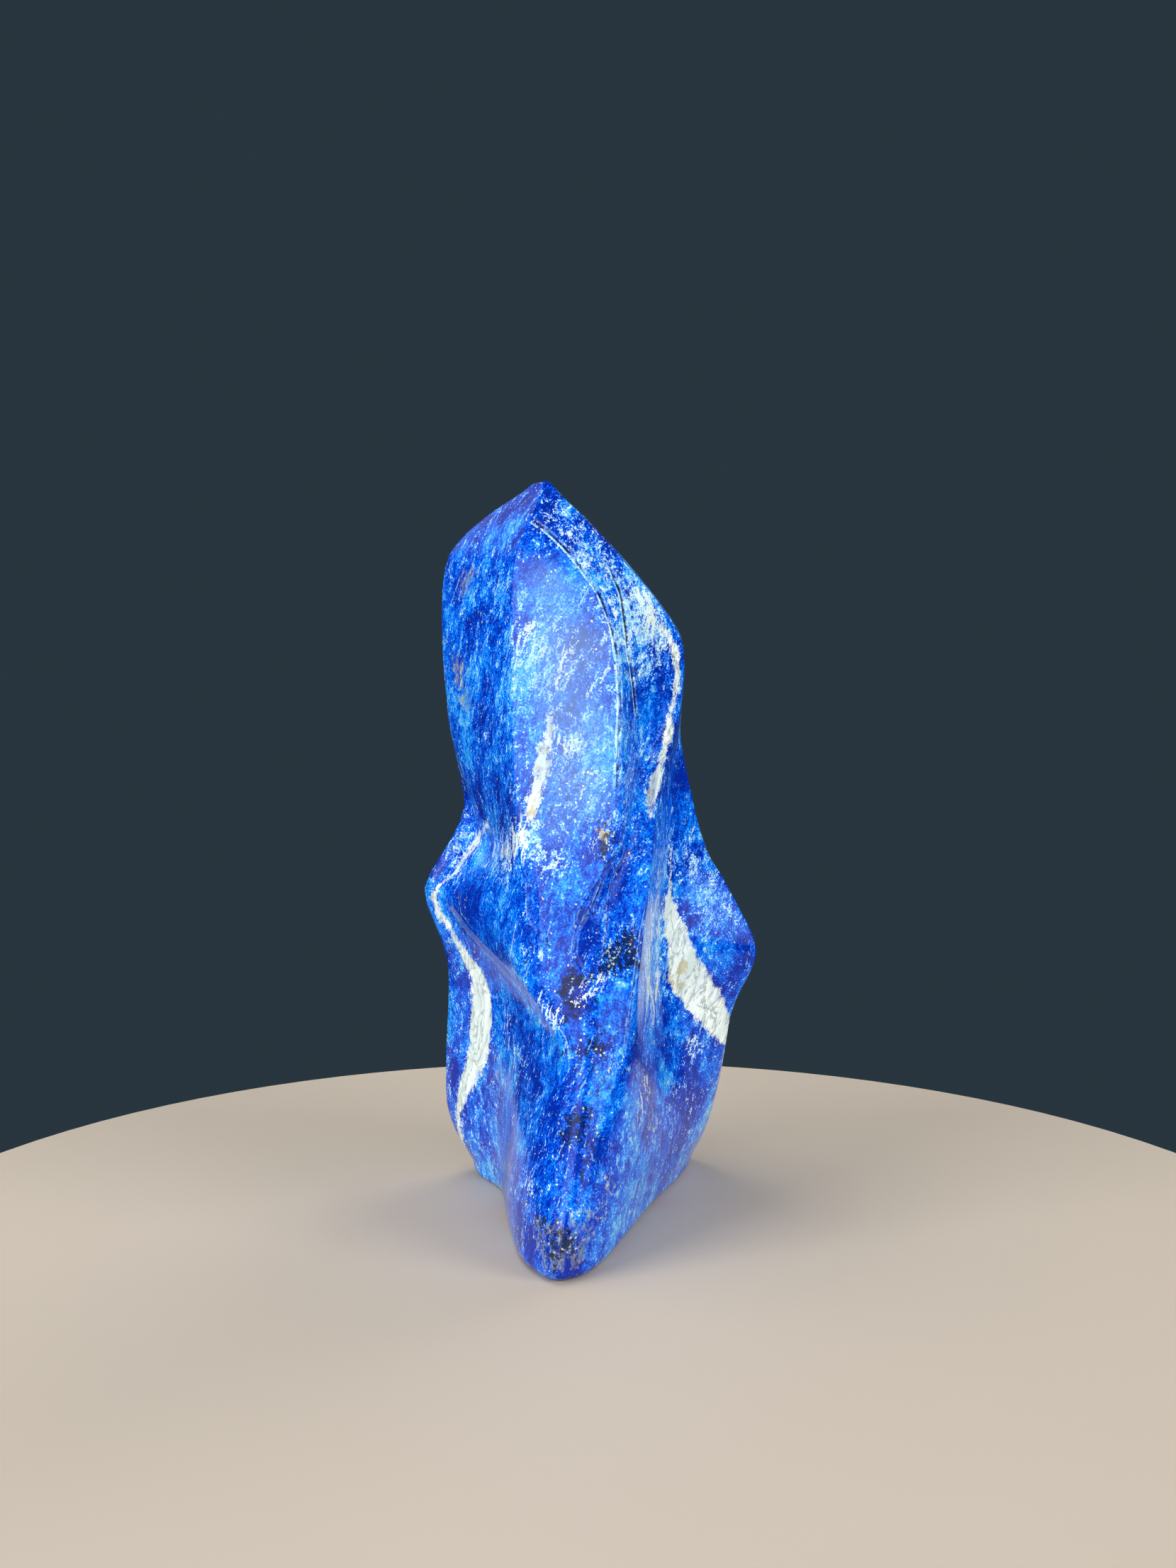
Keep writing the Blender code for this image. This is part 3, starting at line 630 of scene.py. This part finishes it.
        (0.6, -32.9, 59.5, 2.2, 0.9), (-5.7, -33.5, 56, 1.6, 0.8), (0.6, -31.1, 64.6, 1.8, 0.7),
        (2.4, -29.7, 67.5, 2, 0.9), (4.3, -28.3, 70.5, 2.2, 0.9), (6.1, -28.2, 69.1, 2.2, 0.9),
        (8.8, -26.9, 70.7, 3, 1.0), (10.7, -27.3, 68, 2.4, 0.8), (4.3, -29.7, 66.1, 1.8, 0.8),
        (7.9, -27.9, 68.1, 2.4, 0.8), (9.6, -26, 74, 3, 0.8), (1.5, -35.9, 50.6, 2, 0.6),
        (3.3, -35.6, 48.7, 2, 0.6), (-1.2, -36.3, 50.7, 1.8, 0.5), (-9.6, -29.5, 73.3, 1.8, 0.7),
        (-5.6, -22.3, 105.4, 2, 0.5), (-1.1, -22.1, 108, 2, 0.5), (2.7, -22, 109.8, 2, 0.5),
        (-3, -42, 34, 4, 0.85), (-4.5, -42, 31, 3.4, 0.7), (-0.5, -41.5, 35.5, 2.6, 0.8),
        (-0.5, -44, 26.5, 1.8, 0.9), (-2, -45.5, 23, 1.8, 0.7), (-12, -42, 11.5, 4, 0.65),
        (-9.5, -47, 13, 3.6, 0.7), (-6, -50, 10, 3, 0.8), (-8, -50, 7, 4, 0.7), (-16, -36, 6, 4, 0.5),
        (-2, -49, 8, 4, 0.6), (-1, -38, 45, 6, 0.4), (-4, -37, 50, 4, 0.45), (3, -34, 54, 4, 0.4),
        (4, -23.5, 97, 2.2, 0.7), (3.5, -24, 94, 2.2, 0.9), (5, -23.5, 101, 2, 0.6),
        (7, -7.5, 157, 2.5, 0.5), (4, 46, 62, 5, 0.9), (-24, 38, 84, 4, 0.8), (26, 30, 72, 4, 0.8),
        (-33, 25, 40, 4, 0.6), (-10, 39, 132, 4, 0.7),
    ],
    "earthZone": [
        (-28.3, 2.3, 156.8, 4, 0.8), (-31.3, 6.3, 155.5, 3, 0.7), (-32.1, 6.5, 135.5, 4, 1.1),
        (-29.9, 2.6, 126.9, 4, 1.1), (-23.2, -8.6, 132.1, 3, 0.9), (-12, -42, 11.5, 4, 0.8),
        (-6, -50, 10, 4, 0.8), (-16, -36, 6, 4, 0.6), (-2, -49, 8, 4, 0.8), (-8, -48, 5, 5, 0.8),
        (6, -28, 70, 3, 0.5), (-30, 5, 156, 5, 0.8), (-31.5, 5, 132, 6, 0.8), (-29, 0, 146, 4, 0.5),
        (8.5, -21, 93, 2.5, 0.8), (-27, -2, 124, 4, 0.5), (-22.5, 6.5, 33.5, 5, 0.8),
        (15.5, -14, 26.5, 6, 0.9), (6.5, -37, 21.5, 6, 0.6), (4, -41, 18.5, 5, 0.6),
        (20.5, 2, 29, 4, 0.8), (-2.5, -32, 61, 4, 0.5), (-26, 18, 8, 4, 0.5),
        (-9.5, -48.5, 9.5, 5, 1.1), (0, -46, 12.5, 5, 1.1), (-4, -49, 6, 4, 0.9), (22, 6, 90, 3, 0.8),
        (25, 10, 83, 2, 0.6), (11, -28, 30, 5, 0.7), (10, -26, 72, 4, 0.6), (-3, 40, 92, 8, 0.7),
        (14, 44, 30, 8, 0.7), (24, 20, 112, 5, 0.7),
    ],
    "goldZone": [
        (-5.6, -22.3, 105.4, 1.6, 0.7), (-1.1, -22.1, 108, 1.6, 0.8), (2.7, -22, 109.8, 1.6, 0.8),
        (5.2, -21.9, 113.6, 1.6, 0.6), (2.7, -23.5, 97.9, 1.6, 0.8), (4, -23.5, 97, 1.8, 1.1),
        (5, -23, 101.5, 1.6, 1.0), (3.5, -24, 94, 1.6, 0.9), (6.5, -23.5, 95.5, 1.4, 0.7),
        (8, -22.5, 101.5, 1.4, 0.6), (23.7, 6.5, 60.7, 1.4, 1.3), (22.5, 7, 55.5, 2, 0.6),
        (-12, -31, 31, 1.6, 0.7), (-8, -46, 14, 2.4, 0.7), (-4, -31, 63, 2.4, 0.8),
        (-5, -18.5, 138, 1.8, 0.9), (-20, -12, 92, 3, 0.5), (33.5, 15.5, 46, 1.5, 0.6),
        (-11, -21.5, 113, 2, 0.6), (-13.4, -22.6, 103, 1.4, 0.5), (6, 45, 35, 3, 0.7),
    ],
    "brightZone": [
        (28, 10, 52, 5, 1.0), (31, 14, 47, 5, 1.0), (24, 7, 57, 3, 0.4), (20.5, 4, 72, 4, 0.5),
        (-31, 11, 86, 5, 0.8), (-28, 11, 92, 5, 0.8), (-11, -21.5, 111, 6, -0.3), (30, 31, 47, 6, 0.6),
        (-10, 38.5, 111, 8, 0.5),
    ],
    "glossZone": [
        (-9, -14, 156, 8, 0.8), (-8, -18, 142, 9, 0.9), (2, -18, 140, 8, 0.7), (-7, -20, 128, 9, 0.9),
        (2, -20.5, 122, 8, 0.7), (-7, -22, 112, 9, 0.9), (2, -22, 106, 7, 0.7), (-8, -24, 98, 7, 0.6),
        (14, -7, 146, 8, 0.6), (32, 12, 72, 9, 0.4), (-6, -32, 62, 9, -0.8), (3, -32, 56, 9, -0.8),
        (0, -38, 45, 10, -0.8), (9, -27, 66, 8, -0.7), (-2, -42, 30, 10, -0.7),
        (-22, -8, 72, 10, -0.6), (-20, -5, 50, 11, -0.6), (12, -22, 35, 12, -0.5),
        (-6, -48, 12, 8, -0.4), (4, -26, 80, 7, -0.5),
    ],
}


def nearLine(places, line, reach):
    # for each point close to a line: its number, the nearest step of the line and how far off, in mm
    tree = treeOf(line)
    spread = np.array([place for place, _ in line]) / mm
    near = ((places > spread.min(axis=0) - reach) & (places < spread.max(axis=0) + reach)).all(axis=1)
    for i in np.nonzero(near)[0]:
        _, step, away = tree.find(places[i] * mm)
        yield i, step, away / mm


def paintMarkings():
    count = len(stoneMesh.vertices)
    places = np.empty(count * 3)
    stoneMesh.vertices.foreach_get("co", places)
    places = places.reshape(-1, 3) / mm
    values = {
        "veinInside": np.full(count, -8.0),
        "crackNear": np.full(count, 4.0),
        "seamNear": np.full(count, 4.0),
        "crackDark": np.zeros(count),
        "crackLip": np.zeros(count),
    }
    for vein in veins.values():
        line = alongSurface(vein["points"], stoneSurface, vein["widths"])
        for i, step, away in nearLine(places, line, max(vein["widths"]) + 8):
            values["veinInside"][i] = max(values["veinInside"][i], line[step][1] - away)
    for name, line in crackLines.items():
        for i, step, away in nearLine(places, line, 4):
            away = away * 0.34 / cracks[name]["width"]  # a wider crack is painted wider
            if away >= values["crackNear"][i]:
                continue
            values["crackNear"][i] = away
            place = Vector(places[i]) * mm
            onward = line[min(step + 1, len(line) - 1)][0] - line[max(step - 1, 0)][0]
            leftward = onward.cross(stoneMesh.vertices[int(i)].normal)
            toEnd = min(step, len(line) - 1 - step) * stoneShape["lineStep"]
            fade = min(1.0, toEnd / 3.0)
            # the lip value is a painted highlight: full on the left of the line, a quarter on the right
            side = 1.0 if (place - line[step][0]).dot(leftward) > 0 else 0.25
            values["crackDark"][i] = cracks[name]["dark"] * fade
            values["crackLip"][i] = cracks[name]["lip"] * fade * side
    for seam in seams:
        line = alongSurface(seam, stoneSurface)
        for i, step, away in nearLine(places, line, 4):
            values["seamNear"][i] = min(values["seamNear"][i], away)
    for name, spots in patches.items():
        total = np.zeros(count)
        for x, y, z, radius, strength in spots:
            away = ((places - (x, y, z)) ** 2).sum(axis=1)
            total += strength * np.exp(-away / radius**2)
        values[name] = np.minimum(total, 1.4)  # where patches overlap
    for name, value in values.items():
        layer = stoneMesh.attributes.new(name, "FLOAT", "POINT")
        layer.data.foreach_set("value", value.astype(np.float32))


paintMarkings()
print("markings painted")

lapis = {
    "navy": (0.0005, 0.018, 0.290, 1),
    "deep": (0.0005, 0.050, 0.530, 1),
    "ultramarine": (0.0005, 0.099, 0.700, 1),
    "azure": (0.001, 0.196, 0.820, 1),
    "sky": (0.045, 0.390, 0.840, 1),
    "pale": (0.280, 0.600, 0.790, 1),
    "white": (0.690, 0.860, 0.900, 1),
    # painted sheen: the milky blue painted on the main face in place of the light it mirrors
    "paintedSheen": (0.160, 0.320, 0.550, 1),
    "cream": (0.720, 0.800, 0.640, 1),
    "veinBody": (0.610, 0.730, 0.700, 1),
    "veinBright": (0.860, 0.930, 0.890, 1),
    "veinShade": (0.220, 0.300, 0.310, 1),
    "ochre": (0.500, 0.420, 0.200, 1),
    "earth": (0.110, 0.150, 0.180, 1),
    "sand": (0.330, 0.310, 0.220, 1),
    "matrix": (0.002, 0.008, 0.045, 1),
    "pyrite": (0.660, 0.640, 0.400, 1),
    "crackDark": (0.002, 0.008, 0.050, 1),
    "grainTurn": (0, math.radians(-17), math.radians(19)),  # brings the steep layers square to x
    "grainStretch": (1.0, 0.60, 0.52),
    "roughness": 0.16,
    "mirror": 0.22,  # how much the bare polish mirrors; the main face has more gloss over it
    "coatRoughness": 0.14,
}


def lapisFinish():
    m = Maker("lapisPolished")
    place = m.vector("MULTIPLY", m.node("ShaderNodeTexCoord", out="Object"), (1000, 1000, 1000))
    sway = m.vector("SUBTRACT", m.cloud(place, 19, 2, out=1), (0.5, 0.5, 0.5))
    ragged = m.vector("SUBTRACT", m.cloud(place, 3.4, 3, 0.6, out=1), (0.5, 0.5, 0.5))
    bent = m.vector("ADD", place, m.vector("MULTIPLY", sway, (9, 9, 9)))
    rough = m.vector("ADD", bent, m.vector("MULTIPLY", ragged, (2.2, 2.2, 2.2)))
    grain = m.turned(rough, lapis["grainTurn"], lapis["grainStretch"])
    fibre = m.turned(bent, lapis["grainTurn"], (1.0, 0.45, 0.22))

    broad = m.cloud(bent, 26, 3, 0.55) - 0.5
    drift = m.cloud(grain, 15, 3, 0.55) - 0.5
    mottle = m.cloud(grain, 7.5, 8, 0.72) - 0.5
    clots = m.cloud(grain, 3.0, 6, 0.74) - 0.5
    fleck = m.cloud(grain, 1.15, 4, 0.7) - 0.5
    fine = m.cloud(place, 0.45, 2, 0.6) - 0.5
    thread = m.cloud(fibre, 1.3, 4, 0.66) - 0.5
    pale, deep, calm = m.painted("paleZone"), m.painted("deepZone"), m.painted("calmZone")
    frost = m.painted("frostZone")

    # the blue ground, from navy to sky
    tone = (mottle + broad * 0.5 + drift * 0.65 + clots * 0.9) * (1 - calm * 0.65) + thread * 0.32
    tone = tone + fleck * 0.95 + fine * 0.9 + 0.475 + pale * 0.08 - deep * 0.13
    blues = [
        (0.26, lapis["navy"]), (0.37, lapis["deep"]), (0.46, lapis["ultramarine"]),
        (0.58, lapis["azure"]), (0.74, lapis["sky"]),
    ]
    colour = m.node("ShaderNodeValToRGB", {"stops": blues}, {"Fac": tone})

    # milky blue mottling, then white flecks
    milk = (clots * 0.85 + broad * 0.3 + drift * 0.25) * (1 - calm * 0.6)
    milk = milk + fleck * 1.1 + thread * 0.55 + fine * 0.7 + pale * 0.16 - deep * 0.17 - calm * 0.03
    colour = m.blend(m.step(milk, 0.09, 0.32) * 0.8, colour, lapis["pale"])
    chalk = fleck * 1.15 + clots * 0.35 * (1 - calm * 0.5) + fine * 1.1 + thread * 0.5
    chalkMask = m.step(chalk + pale * 0.08 - deep * 0.08 - calm * 0.04 + frost * 0.07, 0.235, 0.32)
    gold = m.painted("goldZone")
    creamy = m.step(m.cloud(place, 2.2, 2) + frost * 0.05 + gold * 0.3, 0.54, 0.66)
    chalky = m.blend(creamy, lapis["white"], lapis["cream"])
    colour = m.blend(chalkMask, colour, chalky)

    # short pale dashes that follow the layers, thick where the stone is frosted
    dash = m.cloud(m.turned(bent, lapis["grainTurn"], (1.0, 0.5, 0.16)), 0.85, 3, 0.6) + fine * 0.4
    dashMask = m.step(dash + frost * 0.14 + drift * 0.15 - calm * 0.03 - deep * 0.02, 0.62, 0.70)
    dashColour = m.blend(m.step(frost, 0.1, 0.8), lapis["pale"], chalky)
    colour = m.blend(dashMask * (frost * 0.38 + 0.48), colour, dashColour)

    # earthy grey-green patches and ochre stains
    pepper = m.cloud(place, 1.4, 5, 0.8) - 0.5
    earthy = m.painted("earthZone") * 0.42 + clots * 1.0 + fleck * 1.6 + thread * 1.3 + pepper * 0.8
    earthTone = m.blend(m.step(fleck + pepper, -0.05, 0.15), lapis["earth"], lapis["sand"])
    colour = m.blend(m.step(earthy, 0.36, 0.66) * 0.62 * (1 - chalkMask * 0.7), colour, earthTone)
    stain = m.step(gold * 0.42 + fleck * 1.2 + pepper * 1.6, 0.36, 0.52)
    colour = m.blend(stain * 0.8, colour, lapis["ochre"])

    # dark matrix that carries the pyrite, broken up by blue and white
    pyrite = m.painted("pyriteZone")
    darkMask = m.step(pyrite * 0.33 + pepper * 2.3 + clots * 0.8 + thread * 0.4, 0.27, 0.37)
    clear = (1 - chalkMask * 0.9) * (1 - dashMask * 0.5)
    colour = m.blend(darkMask * clear * 0.92, colour, lapis["matrix"])

    # calcite veins with ragged edges
    inside = m.painted("veinInside")
    swell = m.cloud(place, 6.5, 2) - 0.5
    rag = (m.cloud(fibre, 3.4, 4, 0.65) - 0.5) * 2.6
    rag = rag + fleck * 3.0 + fine * 1.6 + swell * 2.6
    holes = m.step(m.cloud(grain, 2.0, 4, 0.7), 0.54, 0.62) * (1 - m.step(inside, 0.4, 2.6) * 0.85)
    veinMask = m.step(inside + rag, -0.2, 0.7) * (1 - holes * 0.8)
    fringe = m.step(inside + rag * 1.3 + fleck * 5.0 + fine * 3.0, 0.2, 0.9) * m.step(inside, -3.6, -0.2)
    silk = m.cloud(m.turned(bent, lapis["grainTurn"], (1.0, 0.3, 0.15)), 2.2, 5, 0.7)
    silk = silk + m.painted("brightZone") * 0.12
    veinColour = m.blend(m.step(silk + fleck * 0.3, 0.40, 0.66), lapis["veinBody"], lapis["veinBright"])
    lines = 1 - m.step(abs(m.cloud(fibre, 2.3, 4, 0.6) - 0.5), 0.006, 0.036)
    veinColour = m.blend(lines * 0.7, veinColour, lapis["veinShade"])
    atEdge = 1 - m.step(inside, 0.0, 1.2)
    rust = m.step(m.cloud(place, 3.6, 5, 0.7) + gold * 0.3 + atEdge * 0.04, 0.58, 0.70)
    veinColour = m.blend(rust * 0.7, veinColour, lapis["ochre"])
    colour = m.blend(fringe * 0.55, colour, lapis["white"])
    colour = m.blend(veinMask, colour, veinColour)

    # painted sheen: the flat main face is painted a faint milky blue under its gloss, a painted reflection
    # of the light
    gloss = m.painted("glossZone")
    colour = m.blend(m.step(gloss, 0.2, 1.3) * 0.4, colour, lapis["paintedSheen"])

    # hairline seams: pale dots strung along a line
    seam = m.painted("seamNear")
    strung = m.step(m.cloud(place, 1.0, 2, 0.5) + fine * 0.5, 0.46, 0.58)
    seamMask = (1 - m.step(seam + fleck * 1.1, 0.05, 0.34)) * strung
    colour = m.blend(seamMask * 0.8, colour, lapis["cream"])

    # pyrite grains, sparse all over and thick in the clusters
    uneven = m.vector("ADD", place, m.vector("MULTIPLY", ragged, (1.6, 1.6, 1.6)))
    crystals = {"Vector": uneven, "Scale": 1 / 0.95}
    grainAway = m.node("ShaderNodeTexVoronoi", {"distance": "CHEBYCHEV"}, crystals)
    grainColour = m.node("ShaderNodeTexVoronoi", {"distance": "CHEBYCHEV"}, crystals, out=1)
    lot = m.node("ShaderNodeSeparateColor", {}, {"Color": grainColour})
    chosen = m.step(pyrite * 0.2 + clots * 0.4 + 0.05 - lot, 0.0, 0.01)
    pyriteMask = m.step(0.24 - grainAway + fine * 0.4, 0.0, 0.05) * chosen
    colour = m.blend(pyriteMask, colour, lapis["pyrite"])

    # healed cracks: a dark line, with a painted highlight, a broken pale line, along its left lip
    crack = m.painted("crackNear") + (m.cloud(place, 2.6, 4, 0.7) - 0.5) * 0.5
    lipBroken = m.step(m.cloud(place, 1.5, 4, 0.7) + fine * 0.5, 0.38, 0.50)
    onLip = 1 - m.step(abs(crack - 0.52) + fleck * 0.5, 0.12, 0.30)
    lipHighlightMask = onLip * m.painted("crackLip") * lipBroken
    lipHighlightColour = m.blend(m.step(clots + fleck, -0.1, 0.1), lapis["pale"], lapis["white"])
    colour = m.blend(lipHighlightMask, colour, lipHighlightColour)
    # on the ledge this dark line is painted shade at its step
    crackMask = (1 - m.step(crack + fleck * 0.4 + fine * 0.2, 0.16, 0.36)) * m.painted("crackDark")
    colour = m.blend(crackMask, colour, lapis["crackDark"])

    soft = lapis["roughness"] + (m.cloud(place, 30, 2) - 0.5) * 0.06
    soft = soft + veinMask * 0.14 + darkMask * 0.08 + crackMask * 0.2
    height = fleck * 0.3 + fine * 0.2 + veinMask * 0.3 - darkMask * 0.35 + pyriteMask * 0.35
    relief = m.node("ShaderNodeBump", {}, {"Strength": 0.12, "Distance": 0.12 * mm, "Height": height})
    m.shader.inputs["Specular IOR Level"].default_value = lapis["mirror"]
    m.shader.inputs["Coat Roughness"].default_value = lapis["coatRoughness"]
    coat = m.step(gloss, -1.6, 2.2) * 0.5
    return m.finish(**{
        "Base Color": colour,
        "Roughness": soft,
        "Metallic": pyriteMask * 0.4,
        "Normal": relief,
        "Coat Weight": coat,
    })


stoneMesh.materials.clear()
stoneMesh.materials.append(lapisFinish())
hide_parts(stoneShape["node"])
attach(stone, "root")
print("lapis finish made")

studio = {
    "floorRadius": 0.18,
    "floorAt": (0, -0.03, -0.05 * mm),
    "floor": (0.50, 0.43, 0.35, 1),
    "floorStreak": (0.56, 0.50, 0.42, 1),
    "air": (0.022, 0.036, 0.048, 1),
}

# each light: where it stands, what it looks at, its size, the brightness of its face,
# and whether it mirrors in the polish
lights = {
    "frontBox": {
        "at": (-0.38, -1.5, 0.5), "to": (-0.38, 0, 0.5), "size": (0.88, 0.72), "bright": 2.8,
        "mirrors": True,
    },
    "sideBox": {
        "at": (0.19, -1.5, 0.5), "to": (0.19, 0, 0.5), "size": (0.26, 0.72), "bright": 1.5,
        "mirrors": True,
    },
    "upperBox": {
        "at": (-0.5, -1.5, 1.08), "to": (-0.5, 0, 1.08), "size": (0.62, 0.44), "bright": 2.8,
        "mirrors": True,
    },
    "rightBox": {
        "at": (1.02, -0.66, 0.28), "to": (0.02, 0, 0.08), "size": (0.55, 0.65), "bright": 1.5,
        "mirrors": True,
    },
    "topBox": {
        "at": (-0.35, 0.1, 1.2), "to": (0, 0, 0.09), "size": (0.7, 0.7), "bright": 4.2,
        "mirrors": True,
    },
    "backBox": {
        "at": (-0.75, 0.95, 0.85), "to": (0, 0, 0.1), "size": (0.8, 0.6), "bright": 0.35,
        "mirrors": True,
    },
    "leftFill": {
        "at": (-1.1, -0.75, 0.5), "to": (0, 0, 0.08), "size": (0.8, 0.8), "bright": 9.4,
        "mirrors": False,
    },
    "frontFill": {
        "at": (0.35, -1.2, 0.7), "to": (0, 0, 0.08), "size": (0.8, 0.8), "bright": 1.2,
        "mirrors": False,
    },
    "backFill": {
        "at": (0.8, 1.1, 0.6), "to": (0, 0, 0.08), "size": (0.8, 0.8), "bright": 5.0, "mirrors": False,
    },
    "rightFill": {
        "at": (1.15, -0.75, 0.5), "to": (0, 0, 0.1), "size": (0.8, 0.8), "bright": 7.6,
        "mirrors": False,
    },
}

view = {"at": (0, -0.448, 0.150), "down": 5.5, "focal": 2600, "height": 2212}  # focal and height in pixels


def floorFinish():
    m = Maker("paleFloor")
    place = m.vector("MULTIPLY", m.node("ShaderNodeTexCoord", out="Object"), (1000, 1000, 1000))
    shade = m.blend(m.cloud(place, 60, 3) * 0.25, studio["floor"], studio["floorStreak"])
    return m.finish(**{"Base Color": shade, "Roughness": 0.62})


def addFloor():
    shape = bmesh.new()
    bmesh.ops.create_circle(shape, cap_ends=True, segments=96, radius=studio["floorRadius"])
    bmesh.ops.translate(shape, verts=shape.verts, vec=studio["floorAt"])
    mesh = bpy.data.meshes.new("floor")
    shape.to_mesh(mesh)
    shape.free()
    mesh.materials.append(floorFinish())
    floor = bpy.data.objects.new("floor", mesh)
    scene.collection.objects.link(floor)
    floor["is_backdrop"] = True


def addLight(name, light):
    data = bpy.data.lights.new(name, "AREA")
    data.shape = "RECTANGLE"
    data.size, data.size_y = light["size"]
    data.energy = light["bright"] * math.pi * light["size"][0] * light["size"][1]
    lamp = bpy.data.objects.new(name, data)
    lamp.location = light["at"]
    lamp.rotation_euler = (Vector(light["to"]) - Vector(light["at"])).to_track_quat("-Z", "Y").to_euler()
    lamp.visible_glossy = light["mirrors"]
    scene.collection.objects.link(lamp)


def addCamera():
    data = bpy.data.cameras.new("camera")
    data.sensor_fit = "VERTICAL"
    data.sensor_height = 36
    data.lens = view["focal"] / view["height"] * 36
    data.clip_start = 0.01
    camera = bpy.data.objects.new("camera", data)
    camera.location = view["at"]
    camera.rotation_euler = Euler((math.radians(90 - view["down"]), 0, 0))
    scene.collection.objects.link(camera)
    scene.camera = camera


addFloor()
for lightName, light in lights.items():
    addLight(lightName, light)
addCamera()
world = bpy.data.worlds.new("air")
world.use_nodes = True
world.node_tree.nodes["Background"].inputs["Color"].default_value = studio["air"]
scene.world = world
scene.view_settings.view_transform = "Standard"
print("studio set")

boxes = {"cad": cadBox, "visual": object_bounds()}
{name: [[float(v) for v in corner] for corner in box] for name, box in boxes.items()}
